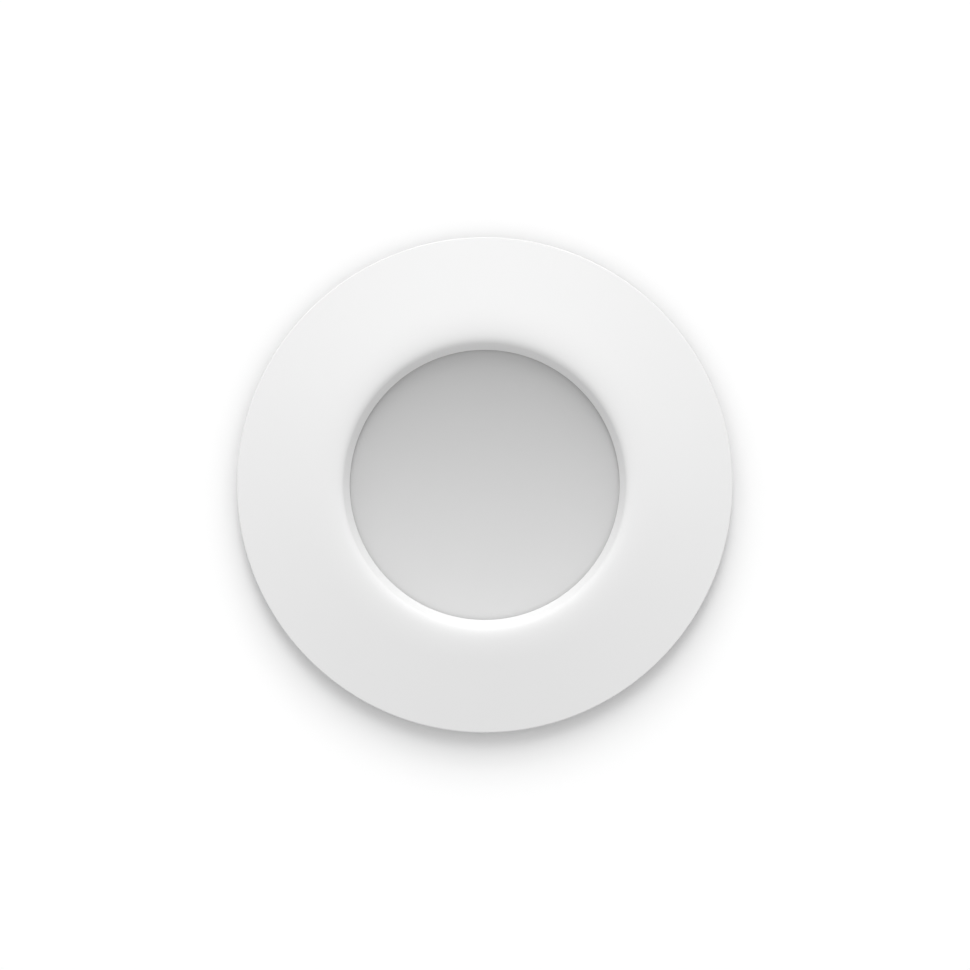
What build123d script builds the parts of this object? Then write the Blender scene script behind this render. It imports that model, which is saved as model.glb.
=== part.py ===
from build123d import *
import os
from math import atan2, ceil, cos, degrees, hypot, pi, radians, sin, sqrt, tan

# A round recessed light with spring clips, in millimetres and degrees.
# It is built on a bench frame whose Z axis is the lamp's axis: z = 0 is the mounting surface, the face looks
# along -Z and the body stands along +Z. Everything is turned at the end so that the face looks along -Y.

# Trim and recess
spigot_radius = 34.5
ledge_width = 10.5
rim_thickness = 1.0
rim_round = 0.2
face_slope = 9.6
lip_wall_run = 1.6
lip_face_run = 6.6
lip_wall_pull = 0.75
lip_face_pull = 0.75
aperture_radius = 24.46
recess_depth = 5.2
recess_draft = 19.87
casting_wall = 2.0
flange_core = 2.5

# Cut-out side of the trim
spigot_height = 9.0
gasket_inner_margin = 1.5
gasket_outer_margin = 0.9
gasket_thickness = 3.1
gasket_proud = 2.8

# Lens and light chamber
lens_overlap = 2.04
lens_thickness = 2.0
lens_dish = 3.4
lens_gasket_thickness = 0.8
lens_gasket_setback = 0.6
lens_edge_round = 0.3
chamber_height = 16.87
reflector_wall = 1.1
reflector_bearing_width = 1.5
tube_wall = 1.5
tube_above_lens = 1.2
seal_thickness = 1.0

# Light-emitting board
board_radius = 21.0
board_thickness = 1.6
led_size = 3.0
led_height = 0.7
led_cup_radius = 1.2
led_fill_share = 0.9
outer_led_margin = 9.5
outer_led_count = 8
inner_led_count = 4
board_screw_margin = 4.5
pad_margin = 0.5
pad_thickness = 0.5
lead_radius = 0.55
lead_spacing = 1.6
lead_bend = 1.6
lead_tail = 2.6
grommet_flange_width = 1.2
grommet_flange_height = 0.9
grommet_lip_width = 0.8
grommet_lip_height = 0.4

# Heat sink
skirt_wall = 1.6
plate_thickness = 4.0
rim_above_plate = 5.9
fin_reach = 5.1
fin_thickness = 1.3
fin_step = 10.0
fin_above_lug = 0.6
lug_radius = 3.0
lug_thickness = 2.5
flat_margin = 0.4
boss_radius = 2.2
tapped_depth = 3.2
screw_bite = 2.8
body_screw_bite = 5.6

# Spring clips
bracket_sheet = 0.8
bracket_half_width = 7.0
pivot_height = 15.0
pin_radius = 0.75
wire_diameter = 0.8
coil_radius = 1.3
coil_pitch = 1.6
coil_turns = 5
arm_sheet = 0.7
arm_half_width = 5.9
arm_length = 28.0
arm_rest_angle = 24.0
arm_fold_angle = 97.0
sleeve_length = 7.0
sleeve_wall = 0.7
sleeve_past_tip = 1.0
sleeve_round = 0.8
arm_tip_round = 2.0
arm_taper = 0.2
pin_head = 0.5
pin_head_radius = 1.35
lip_reach = 4.2
ear_half_height = 2.4
arm_ear_wall = 0.9
arm_ear_run = 9.0
bracket_screw_offset = 4.4
bracket_screw_length = 4.2

# Driver housing
housing_wall = 1.8
housing_height = 29.0
housing_setback = 1.0
post_wall = 1.2
peg_radius = 1.0
peg_above_board = 0.8
driver_board_radius = 22.8
standoff_margin = 3.3
driver_board_gap = 5.1
cover_thickness = 2.4
cover_seal_thickness = 0.8
cover_seal_inset = 0.4
cover_screw_length = 9.0

# Terminal chamber
chamber_half_width = 16.5
chamber_half_length = 15.0
terminal_chamber_height = 12.8
chamber_wall = 1.8
chamber_corner = 2.5
lid_thickness = 1.8
hinge_pin_radius = 0.8
knuckle_radius = 1.9
cable_radius = 3.2
block_half_width = 9.0
block_length = 11.0
block_height = 9.0
pole_offset = 4.5
button_travel = 1.5
block_setback = 1.2
block_round = 0.8
wire_entry_rise = 3.9
cavity_wall = 1.4
lead_setback = 2.4
ear_inner = 10.0
ear_width = 3.0
clamp_setback = 7.0
clamp_half_length = 2.2
clamp_post_x = 8.0
clamp_bar_thickness = 1.6
clamp_bar_round = 1.2
clamp_screw_length = 6.0
clamp_rib = 0.7
groove_depth = 1.2
collar_width = 2.4
collar_thickness = 1.4
collar_round = 0.4
spring_strip = 0.4
spring_half_width = 1.9
spring_blade = 3.0
spring_rise = 0.6
button_setback = 4.2
button_cap_margin = 0.8
button_cap_height = 1.2
button_cap_round = 0.5
button_foot_height = 0.8
lid_corner = 2.5
lid_edge_round = 0.6
lid_web = 1.5
tab_width = 4.5
tab_inset = 3.0
tab_thickness = 1.4
tab_drop = 4.0
mains_lead_bend = 6.0
mains_lead_drop = 3.0
mains_lead_rise = 4.0

# Clearances
slide_gap = 0.1
fit_gap = 0.2
pin_gap = 0.04
stop_gap = 0.05
contact_gap = 0.02

# How far a boss, wall or rib is sunk into the solid that carries it, and how far a cut runs past a face
join = 0.5
cut_past = 1.0

# Screws, with the cross recess and the point as shares of the head and the shank
shank_radius = 1.2
head_radius = 2.1
head_height = 1.4
small_head_radius = 1.9
small_head_height = 1.1
head_round_share = 0.6
slot_length_share = 1.1
slot_width_share = 0.26
slot_depth_share = 0.6
screw_point_share = 0.4
tapped_radius = shank_radius + stop_gap
through_radius = shank_radius + fit_gap

# Levels along the lamp's axis, from the face to the back
flange_radius = spigot_radius + ledge_width
flange_back = -gasket_proud
rim_front = flange_back - rim_thickness
mouth_radius = aperture_radius + (recess_depth - lens_gasket_thickness) * tan(radians(recess_draft))
mouth_front = rim_front - (flange_radius - mouth_radius) * tan(radians(face_slope))
lens_front = mouth_front + recess_depth
lens_seat = lens_front - lens_gasket_thickness
lens_back = lens_front + lens_thickness
tube_top = lens_back + tube_above_lens
skirt_front = tube_top + seal_thickness
board_front = lens_back + chamber_height
board_back = board_front + board_thickness
plate_front = board_back + pad_thickness
plate_back = plate_front + plate_thickness
rim_top = plate_back + rim_above_plate
lug_back = spigot_height + lug_thickness
floor_back = plate_back + housing_wall
driver_front = floor_back + driver_board_gap
driver_back = driver_front + board_thickness
housing_back = plate_back + housing_height
cover_front = housing_back + cover_seal_thickness
cover_back = cover_front + cover_thickness
chamber_back = cover_back + terminal_chamber_height

# Radii that follow from the fits
lens_radius = aperture_radius + lens_overlap
tube_inner = lens_radius + fit_gap
tube_outer = tube_inner + tube_wall
skirt_inner = tube_inner + slide_gap
skirt_outer = skirt_inner + skirt_wall
fin_tip = skirt_outer + fin_reach
gasket_inner = spigot_radius + gasket_inner_margin
gasket_outer = flange_radius - gasket_outer_margin
spigot_inner = spigot_radius - casting_wall
housing_outer = skirt_outer - housing_setback
housing_inner = housing_outer - housing_wall
plug_outer = skirt_inner - fit_gap
plug_inner = plug_outer - housing_wall
post_radius = shank_radius + post_wall

# Circles of the screws, standoffs and light-emitting packages
body_screw_circle = skirt_outer + boss_radius + 2 * fit_gap
board_screw_circle = board_radius - board_screw_margin
cover_screw_circle = housing_inner - post_radius
standoff_circle = driver_board_radius - standoff_margin
outer_led_circle = board_radius - outer_led_margin
inner_led_circle = outer_led_circle / 2

# Places on the clips, for the clip on the +X side
bracket_face = skirt_outer + fit_gap
bracket_front = bracket_face + bracket_sheet
pivot_x = bracket_front + wire_diameter / 2 + coil_radius + slide_gap
blade_top = -(coil_radius + wire_diameter / 2) - slide_gap
blade_bottom = blade_top - arm_sheet
bracket_screw_height = (plate_front + plate_back) / 2

# Angles of the repeated pieces round the lamp's axis
clip_angles = {"right": 0.0, "left": 180.0}
body_screw_angles = (90.0, 210.0, 330.0)
board_screw_angles = (30.0, 150.0, 270.0)
standoff_angles = (0.0, 120.0, 240.0)


def turned(points, rounds=()):
    """A solid turned about Z from (radius, height) points; rounds holds (corner number, radius)."""
    corner_rounds = [(points[number], radius) for number, radius in rounds]
    return turned_outline(Polyline(*points, close=True), corner_rounds)


def turned_outline(edges, rounds=()):
    """A solid turned about Z from the edges of a closed outline; rounds holds (corner point, radius)."""
    outline = make_face(edges)
    for point, radius in rounds:
        corner = outline.vertices().sort_by_distance((*point, 0))[0]
        outline = fillet(corner, radius)
    return revolve(Plane.XZ * outline, Axis.Z)


def past(low, high):
    """A cut's range: a little past both faces."""
    return low - cut_past, high + cut_past


def disc(radius, low, high, x=0.0, y=0.0):
    """A cylinder along Z between two heights."""
    return Pos(x, y, (low + high) / 2) * Cylinder(radius, high - low)


def ring(inner, outer, low, high):
    """A flat ring about Z between two heights."""
    return turned([(inner, low), (outer, low), (outer, high), (inner, high)])


def block(x_range, y_range, z_range):
    """A box between two corners."""
    middle = [(low + high) / 2 for low, high in (x_range, y_range, z_range)]
    return Pos(*middle) * Box(*[high - low for low, high in (x_range, y_range, z_range)])


def rod_x(radius, low, high, y, z):
    """A cylinder along X."""
    return Pos((low + high) / 2, y, z) * Rot(0, 90, 0) * Cylinder(radius, high - low)


def rod_y(radius, low, high, x, z):
    """A cylinder along Y."""
    return Pos(x, (low + high) / 2, z) * Rot(90, 0, 0) * Cylinder(radius, high - low)


def polar(radius, angle):
    """The x and y of a point on a circle about the lamp's axis."""
    return radius * cos(radians(angle)), radius * sin(radians(angle))


def pan_screw(length, shank=shank_radius, head=head_radius, height=head_height):
    """A pan-head screw with a cross recess: the head's seat is z = 0 and the shank goes along -Z."""
    crown = turned([(0, 0), (head, 0), (head, height), (0, height)], [(2, height * head_round_share)])
    slot = Box(head * slot_length_share, head * slot_width_share, 2 * height * slot_depth_share)
    for angle in (45, 135):
        crown -= Pos(0, 0, height) * Rot(0, 0, angle) * slot
    point = shank * screw_point_share
    thread = turned([(0, 0), (shank, 0), (shank, -length + shank), (point, -length), (0, -length)])
    return crown + thread


def save(name, *solids):
    """Turns a node from the bench frame into the part's frame and writes it."""
    loose = [solid for shape in solids for solid in shape.solids()]
    export_step(Rot(-90, 0, 0) * Compound(loose), f"parts/{name}.step")


def lip_points():
    """Ends and pulls of the lip's curve: ends on recess wall and face, pulls towards their corner."""
    slope, draft = radians(face_slope), radians(recess_draft)
    corner = Vector(mouth_radius, mouth_front)
    wall_end = corner + Vector(-sin(draft), cos(draft)) * lip_wall_run
    face_end = corner + Vector(cos(slope), sin(slope)) * lip_face_run
    wall_pull = wall_end + (corner - wall_end) * lip_wall_pull
    face_pull = face_end + (corner - face_end) * lip_face_pull
    return wall_end, wall_pull, face_pull, face_end


def trim_ring():
    """White casting: sloped flange, lip, recess wall, lens tube, cut-out spigot and three screw bosses."""
    face_at_spigot = rim_front - (flange_radius - spigot_inner) * tan(radians(face_slope))
    pocket_floor = face_at_spigot + flange_core
    groove_outer = gasket_outer + slide_gap
    groove_inner = gasket_inner - slide_gap
    lip = lip_points()
    rim_corner = (flange_radius, rim_front)
    outside = Polyline(
        lip[-1],
        rim_corner,
        (flange_radius, flange_back),
        (groove_outer, flange_back),
        (groove_outer, -gasket_thickness),
        (groove_inner, -gasket_thickness),
        (groove_inner, flange_back),
        (spigot_radius, flange_back),
        (spigot_radius, spigot_height),
        (spigot_inner, spigot_height),
        (spigot_inner, pocket_floor),
        (tube_outer, pocket_floor),
        (tube_outer, tube_top),
        (tube_inner, tube_top),
        (tube_inner, lens_seat),
        (aperture_radius, lens_seat),
        lip[0],
    )
    body = turned_outline(outside + Bezier(*lip), [(rim_corner, rim_round)])
    for angle in body_screw_angles:
        x, y = polar(body_screw_circle, angle)
        body += disc(boss_radius, pocket_floor - rim_round, spigot_height, x, y)
    for angle in body_screw_angles:
        x, y = polar(body_screw_circle, angle)
        body -= disc(tapped_radius, pocket_floor + casting_wall, spigot_height + cut_past, x, y)
    return body


def wall_gasket():
    """Foam ring in the groove behind the flange."""
    return ring(gasket_inner, gasket_outer, -gasket_thickness, 0)


def lens_gasket():
    """Seal between the recess wall's back end and the lens, set back so that a shadow gap shows."""
    return ring(aperture_radius + lens_gasket_setback, lens_radius, lens_seat, lens_front)


def diffuser_lens():
    """Opal disc with broken edges, dished inside its flat rim."""
    front_middle = (0, lens_front + lens_dish)
    back_middle = (0, lens_back + lens_dish)
    front_edge = (lens_radius, lens_front)
    back_edge = (lens_radius, lens_back)
    rim = Polyline((aperture_radius, lens_front), front_edge, back_edge, (aperture_radius, lens_back))
    front = TangentArc(front_middle, (aperture_radius, lens_front), tangent=(1, 0))
    back = TangentArc(back_middle, (aperture_radius, lens_back), tangent=(1, 0))
    edges = front + rim + back + Line(back_middle, front_middle)
    return turned_outline(edges, [(front_edge, lens_edge_round), (back_edge, lens_edge_round)])


def body_seal():
    """Seal between the trim's lens tube and the heat sink's skirt."""
    return ring(tube_inner + slide_gap, tube_outer - slide_gap, tube_top, skirt_front)


def reflector_cup():
    """White cone from the lens rim to the light-emitting board."""
    mouth = aperture_radius + slide_gap
    top = board_radius - reflector_bearing_width
    shelf = lens_back + reflector_wall
    return turned(
        [
            (mouth, lens_back),
            (lens_radius, lens_back),
            (lens_radius, shelf),
            (mouth + reflector_wall, shelf),
            (top + reflector_wall, board_front),
            (top, board_front),
        ]
    )


def led_places():
    """The x, y and turn of every light-emitting package."""
    places = []
    for circle, count in ((outer_led_circle, outer_led_count), (inner_led_circle, inner_led_count)):
        for number in range(count):
            angle = (number + 0.5) * 360 / count
            places.append((*polar(circle, angle), angle))
    return places


def led_board():
    """Round aluminium-core board with a wire hole and three screw holes."""
    board = disc(board_radius, board_front, board_back)
    board -= disc(lead_spacing + lead_radius + fit_gap, *past(board_front, board_back))
    for angle in board_screw_angles:
        board -= disc(through_radius, *past(board_front, board_back), *polar(board_screw_circle, angle))
    return board


def led_packages():
    """White package bodies on the board's front, each with a shallow cup."""
    packages = []
    for x, y, angle in led_places():
        place = Pos(x, y, board_front - led_height / 2) * Rot(0, 0, angle)
        body = Box(led_size, led_size, led_height)
        cup = Pos(0, 0, -led_height / 2) * Cylinder(led_cup_radius, led_height)
        packages.append(place * (body - cup))
    return packages


def led_phosphors():
    """The yellow fill in each package's cup."""
    fill_radius = led_cup_radius - contact_gap
    fill_front = board_front - led_height * led_fill_share
    fill_back = board_front - led_height / 2
    return [disc(fill_radius, fill_front, fill_back, x, y) for x, y, _ in led_places()]


def board_screws():
    """Three screws that press the board and its pad on the heat sink."""
    length = board_thickness + pad_thickness + screw_bite
    screws = []
    for angle in board_screw_angles:
        x, y = polar(board_screw_circle, angle)
        screws.append(Pos(x, y, board_front) * Rot(180, 0, 0) * pan_screw(length))
    return screws


# Bush of the two leads in the base plate
grommet_neck = lead_spacing + lead_radius + 3 * fit_gap
grommet_flange = grommet_neck + grommet_flange_width
grommet_lip = grommet_neck + grommet_lip_width


def thermal_pad():
    """Grey pad between the board and the heat sink."""
    pad = disc(board_radius - pad_margin, board_back, plate_front)
    pad -= disc(grommet_lip + fit_gap, *past(board_back, plate_front))
    for angle in board_screw_angles:
        pad -= disc(through_radius, *past(board_back, plate_front), *polar(board_screw_circle, angle))
    return pad


def heat_sink():
    """Die-cast body: skirt, base plate, rear rim, fins, screw lugs and the two flats that carry the clips."""
    body = ring(skirt_inner, skirt_outer, skirt_front, rim_top)
    body += disc(skirt_inner + skirt_wall / 2, plate_front, plate_back)
    fin_root = skirt_inner + skirt_wall / 2
    fin_front = lug_back + fin_above_lug
    corner = fin_reach / 3
    fin_outline = make_face(
        Polyline(
            (fin_root, fin_front),
            (fin_tip - corner, fin_front),
            (fin_tip, fin_front + corner),
            (fin_tip, rim_top - corner),
            (fin_tip - corner, rim_top),
            (fin_root, rim_top),
            close=True,
        )
    )
    fin = extrude(Plane.XZ * fin_outline, fin_thickness / 2, both=True)
    clip_zone = degrees(atan2(bracket_half_width + 2 * fin_thickness, skirt_outer))
    for number in range(round(360 / fin_step)):
        angle = number * fin_step
        from_clip = min(abs((angle - clip + 180) % 360 - 180) for clip in clip_angles.values())
        on_lug = any(abs(angle - lug) < fin_step / 2 for lug in body_screw_angles)
        if from_clip > clip_zone and not on_lug:
            body += Rot(0, 0, angle) * fin
    for angle in body_screw_angles:
        lug = disc(lug_radius, spigot_height, lug_back, body_screw_circle)
        lug += block((fin_root, body_screw_circle), (-lug_radius, lug_radius), (spigot_height, lug_back))
        lug -= disc(through_radius, *past(spigot_height, lug_back), body_screw_circle)
        body += Rot(0, 0, angle) * lug
    flat_z = (bracket_low - flat_margin, bracket_high + flat_margin)
    flat_half = bracket_half_width + flat_margin
    for angle in clip_angles.values():
        flat = block((skirt_inner + slide_gap, bracket_face), (-flat_half, flat_half), flat_z)
        for y in (-bracket_screw_offset, bracket_screw_offset):
            hole_x = (bracket_face - bracket_screw_length, bracket_face + cut_past)
            hole = rod_x(tapped_radius, *hole_x, y, bracket_screw_height)
            flat -= hole
            body -= Rot(0, 0, angle) * hole
        body += Rot(0, 0, angle) * flat
    body -= disc(grommet_neck + stop_gap, *past(plate_front, plate_back))
    for angle in board_screw_angles:
        x, y = polar(board_screw_circle, angle)
        body -= disc(tapped_radius, plate_front - cut_past, plate_front + tapped_depth, x, y)
    for angle in body_screw_angles:
        x, y = polar(standoff_circle, angle)
        body -= disc(tapped_radius, plate_back - tapped_depth, plate_back + cut_past, x, y)
    return body


def body_screws():
    """Three screws from behind through the heat sink's lugs into the trim's bosses."""
    length = lug_thickness + body_screw_bite
    places = [polar(body_screw_circle, angle) for angle in body_screw_angles]
    return [Pos(x, y, lug_back) * pan_screw(length) for x, y in places]


def lead_grommet():
    """Rubber bush that takes the two leads through the base plate."""
    bore = lead_spacing + lead_radius - fit_gap
    return turned(
        [
            (bore, plate_front - grommet_lip_height),
            (grommet_lip, plate_front - grommet_lip_height),
            (grommet_lip, plate_front),
            (grommet_neck, plate_front),
            (grommet_neck, plate_back),
            (grommet_flange, plate_back),
            (grommet_flange, plate_back + grommet_flange_height),
            (bore, plate_back + grommet_flange_height),
        ]
    )


def led_lead(side):
    """One lead from the driver board through the bush, bent onto the light-emitting board."""
    run = board_front - lead_radius - stop_gap
    x = side * lead_spacing / 2
    x_end = x + side * (lead_bend + lead_tail)
    path = FilletPolyline((x, 0, driver_front - contact_gap), (x, 0, run), (x_end, 0, run), radius=lead_bend)
    section = Plane((x, 0, driver_front - contact_gap), z_dir=(0, 0, -1)) * Circle(lead_radius)
    return sweep(section, path=path)


def rear_housing():
    """Plastic cup that plugs into the heat sink's rim and holds the driver board."""
    shoulder = rim_top + fit_gap
    body = turned(
        [
            (0, plate_back),
            (plug_outer, plate_back),
            (plug_outer, shoulder),
            (housing_outer, shoulder),
            (housing_outer, housing_back),
            (housing_inner, housing_back),
            (housing_inner, shoulder + housing_wall),
            (plug_inner, shoulder + housing_wall),
            (plug_inner, floor_back),
            (0, floor_back),
        ]
    )
    body -= disc(grommet_flange + fit_gap, *past(plate_back, floor_back))
    post_back = cover_front - stop_gap
    for angle in board_screw_angles:
        x, y = polar(cover_screw_circle, angle)
        body += disc(post_radius, floor_back - join, post_back, x, y)
    for angle in board_screw_angles:
        x, y = polar(cover_screw_circle, angle)
        body -= disc(tapped_radius, cover_back - cover_screw_length - join, post_back + cut_past, x, y)
    for angle in standoff_angles:
        x, y = polar(standoff_circle, angle)
        body += disc(post_radius, floor_back - join, driver_front, x, y)
        body += disc(peg_radius, driver_front - join, driver_back + peg_above_board, x, y)
    for angle in body_screw_angles:
        body -= disc(through_radius, *past(plate_back, floor_back), *polar(standoff_circle, angle))
    return body


def housing_screws():
    """Three screws that hold the cup's floor on the heat sink."""
    length = housing_wall + screw_bite
    places = [polar(standoff_circle, angle) for angle in body_screw_angles]
    return [Pos(x, y, floor_back) * pan_screw(length) for x, y in places]


def driver_board():
    """Round board on the cup's standoffs, notched round the cover's screw posts."""
    board = disc(driver_board_radius, driver_front, driver_back)
    for angle in board_screw_angles:
        x, y = polar(cover_screw_circle, angle)
        board -= disc(post_radius + 2 * fit_gap, *past(driver_front, driver_back), x, y)
    for angle in standoff_angles:
        x, y = polar(standoff_circle, angle)
        board -= disc(peg_radius + stop_gap, *past(driver_front, driver_back), x, y)
    return board


# Sizes of the driver's components
transformer_width = 18.0
transformer_height = 14.0
core_depth = 6.0
core_leg = 3.0
winding_round = 1.5
input_can_radius = 5.0
input_can_height = 16.0
output_can_radius = 4.0
output_can_height = 12.0
can_foot_height = 1.2
can_groove_depth = 0.5
can_groove_slope = 0.4
can_groove_width = 0.6
can_round = 0.6
film_width = 5.0
film_length = 12.0
film_height = 10.0
film_round = 0.6
choke_radius = 4.0
choke_winding_radius = 3.3
choke_flange = 1.2
choke_height = 9.0
chip_length = 5.0
chip_width = 4.0
chip_bevel = 0.4
rectifier_height = 2.2
driver_chip_height = 1.6
fuse_radius = 1.7
fuse_length = 8.0
fuse_round = 0.4
mains_lead_radius = 0.9


def on_board(x_share, y_share):
    """A place on the driver board from shares of its radius."""
    return x_share * driver_board_radius, y_share * driver_board_radius


transformer_place = on_board(0.0, 0.395)
input_can_place = on_board(0.614, -0.175)
output_can_place = on_board(-0.658, 0.219)
film_place = on_board(-0.526, -0.351)
choke_place = on_board(0.592, 0.351)
rectifier_place = on_board(0.0, -0.132)
driver_chip_place = on_board(0.175, -0.702)
fuse_place = on_board(-0.175, -0.68)
mains_lead_end = on_board(0.0, -0.439)[1]


def transformer_core():
    """Ferrite frame round the winding."""
    x, y = transformer_place
    half = transformer_width / 2
    y_range = (y - core_depth / 2, y + core_depth / 2)
    core = block((x - half, x + half), y_range, (driver_back, driver_back + transformer_height))
    window_x = (x - half + core_leg, x + half - core_leg)
    window_z = (driver_back + core_leg, driver_back + transformer_height - core_leg)
    return core - block(window_x, past(*y_range), window_z)


def transformer_bobbin():
    """Taped winding in the core's window."""
    x, y = transformer_place
    half = transformer_width / 2 - core_leg - slide_gap
    low = driver_back + core_leg + slide_gap
    high = driver_back + transformer_height - core_leg - slide_gap
    winding = block((x - half, x + half), (y - core_depth, y + core_depth), (low, high))
    return fillet(winding.edges().filter_by(Axis.Z), winding_round)


def can_capacitor(place, radius, height):
    """Electrolytic can with a rolled groove near its base."""
    neck = radius - can_groove_depth
    groove_low = driver_back + can_foot_height
    neck_low = groove_low + can_groove_slope
    neck_high = neck_low + can_groove_width
    groove_high = neck_high + can_groove_slope
    top = driver_back + height
    outline = [(0, driver_back), (radius, driver_back), (radius, groove_low), (neck, neck_low)]
    outline += [(neck, neck_high), (radius, groove_high), (radius, top), (0, top)]
    return Pos(*place, 0) * turned(outline, [(6, can_round)])


def film_capacitor():
    """Boxed film capacitor."""
    x, y = film_place
    x_range = (x - film_width / 2, x + film_width / 2)
    y_range = (y - film_length / 2, y + film_length / 2)
    body = block(x_range, y_range, (driver_back, driver_back + film_height))
    return fillet(body.edges().filter_by(Axis.Z), film_round)


def choke():
    """Drum choke: two flanges and the winding between them."""
    top = driver_back + choke_height
    lower = driver_back + choke_flange
    upper = top - choke_flange
    outline = [(0, driver_back), (choke_radius, driver_back), (choke_radius, lower)]
    outline += [(choke_winding_radius, lower), (choke_winding_radius, upper)]
    outline += [(choke_radius, upper), (choke_radius, top), (0, top)]
    return Pos(*choke_place, 0) * turned(outline)


def chip_body(place, height):
    """Moulded chip with a bevelled upper edge."""
    x, y = place
    x_range = (x - chip_length / 2, x + chip_length / 2)
    y_range = (y - chip_width / 2, y + chip_width / 2)
    body = block(x_range, y_range, (driver_back, driver_back + height))
    return chamfer(body.faces().sort_by(Axis.Z)[-1].edges(), chip_bevel)


def fuse():
    """Barrel fuse lying on the board."""
    x, y = fuse_place
    barrel = rod_x(fuse_radius, x - fuse_length / 2, x + fuse_length / 2, y, driver_back + fuse_radius)
    return fillet(barrel.edges().filter_by(GeomType.CIRCLE), fuse_round)


# Places in the terminal chamber: +y is where the cable comes in
block_back = cover_back + block_height
block_y_low = -chamber_half_length + chamber_wall + block_setback
block_y_high = block_y_low + block_length
entry_height = cover_back + terminal_chamber_height / 2
lead_exit_y = block_y_low + lead_setback
hinge_y = -(chamber_half_length + knuckle_radius + 3 * slide_gap)
hinge_z = chamber_back
clamp_y = chamber_half_length - clamp_setback
clamp_bar_front = entry_height + cable_radius * 0.7
grommet_groove = cable_radius + groove_depth
grommet_collar = cable_radius + collar_width


def rear_cover():
    """Plastic cover with the terminal chamber, hinge ears, clamp posts and the holes for cable and leads."""
    x_range = (-chamber_half_width, chamber_half_width)
    y_range = (-chamber_half_length, chamber_half_length)
    walls = block(x_range, y_range, (cover_back - join, chamber_back))
    walls = fillet(walls.edges().filter_by(Axis.Z), chamber_corner)
    hollow_x = (x_range[0] + chamber_wall, x_range[1] - chamber_wall)
    hollow_y = (y_range[0] + chamber_wall, y_range[1] - chamber_wall)
    hollow = block(hollow_x, hollow_y, (cover_back, chamber_back + cut_past))
    walls -= fillet(hollow.edges().filter_by(Axis.Z), chamber_corner - chamber_wall + join)
    body = disc(housing_outer, cover_front, cover_back) + walls
    post_y = (clamp_y - clamp_half_length, clamp_y + clamp_half_length)
    screw_front = clamp_bar_front - clamp_screw_length
    for side in (-1, 1):
        ear_range = sorted((side * ear_inner, side * (ear_inner + ear_width)))
        ear = rod_x(knuckle_radius, *ear_range, hinge_y, hinge_z)
        web_y = (hinge_y, -chamber_half_length + join)
        ear += block(ear_range, web_y, (hinge_z - knuckle_radius, hinge_z))
        gusset = make_face(
            Polyline(
                (-chamber_half_length + join, hinge_z - knuckle_radius - ear_width),
                (-chamber_half_length + join, hinge_z - knuckle_radius + join),
                (hinge_y - knuckle_radius * 0.8, hinge_z - knuckle_radius * 0.6),
                close=True,
            )
        )
        ear += Pos(ear_range[0], 0, 0) * extrude(Plane.YZ * gusset, ear_width)
        ear -= rod_x(hinge_pin_radius + contact_gap, *past(*ear_range), hinge_y, hinge_z)
        body += ear
        body += disc(clamp_half_length, cover_back - join, clamp_bar_front, side * clamp_post_x, clamp_y)
        body -= disc(tapped_radius, screw_front, clamp_bar_front + cut_past, side * clamp_post_x, clamp_y)
        hole_x = side * pole_offset
        lead_hole_z = (cover_front - cut_past, cover_back + slide_gap)
        body -= disc(mains_lead_radius + 2 * fit_gap, *lead_hole_z, hole_x, lead_exit_y)
    saddle_top = entry_height - cable_radius - fit_gap
    body += block((-cable_radius, cable_radius), post_y, (cover_back - join, saddle_top))
    entry_y = past(chamber_half_length - chamber_wall, chamber_half_length)
    body -= rod_y(grommet_groove + slide_gap, *entry_y, 0, entry_height)
    for angle in board_screw_angles:
        body -= disc(through_radius, *past(cover_front, cover_back), *polar(cover_screw_circle, angle))
    return body


def cover_seal():
    """Flat seal between the cup and its cover."""
    return ring(housing_inner + cover_seal_inset, housing_outer - cover_seal_inset, housing_back, cover_front)


def cover_screws():
    """Three screws from the cover into the cup's posts."""
    places = [polar(cover_screw_circle, angle) for angle in board_screw_angles]
    return [Pos(x, y, cover_back) * pan_screw(cover_screw_length) for x, y in places]


# Terminal block: cavity, wire entry and button slot of one pole
cavity_half = 2.8
cavity_y = (block_y_low + block_setback, block_y_high - cavity_wall)
cavity_z = (cover_back + cavity_wall, block_back - cavity_wall)
button_y = block_y_low + button_setback
slot_half_x = 1.2
slot_half_y = 1.0
wire_entry_radius = 1.5
wire_entry_height = cover_back + wire_entry_rise


def terminal_block():
    """Two-pole push-in block with a wire entry, a button slot and a lead hole for each pole."""
    x_range = (-block_half_width, block_half_width)
    body = block(x_range, (block_y_low, block_y_high), (cover_back, block_back))
    body = fillet(body.edges().filter_by(Axis.Z), block_round)
    for side in (-1, 1):
        x = side * pole_offset
        body -= block((x - cavity_half, x + cavity_half), cavity_y, cavity_z)
        body -= rod_y(wire_entry_radius, *past(cavity_y[1], block_y_high), x, wire_entry_height)
        slot_x = (x - slot_half_x - slide_gap, x + slot_half_x + slide_gap)
        slot_y = (button_y - slot_half_y - slide_gap, button_y + slot_half_y + slide_gap)
        body -= block(slot_x, slot_y, past(cavity_z[1], block_back))
        body -= disc(mains_lead_radius + slide_gap, *past(cover_back, cavity_z[0]), x, lead_exit_y)
    return body


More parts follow.
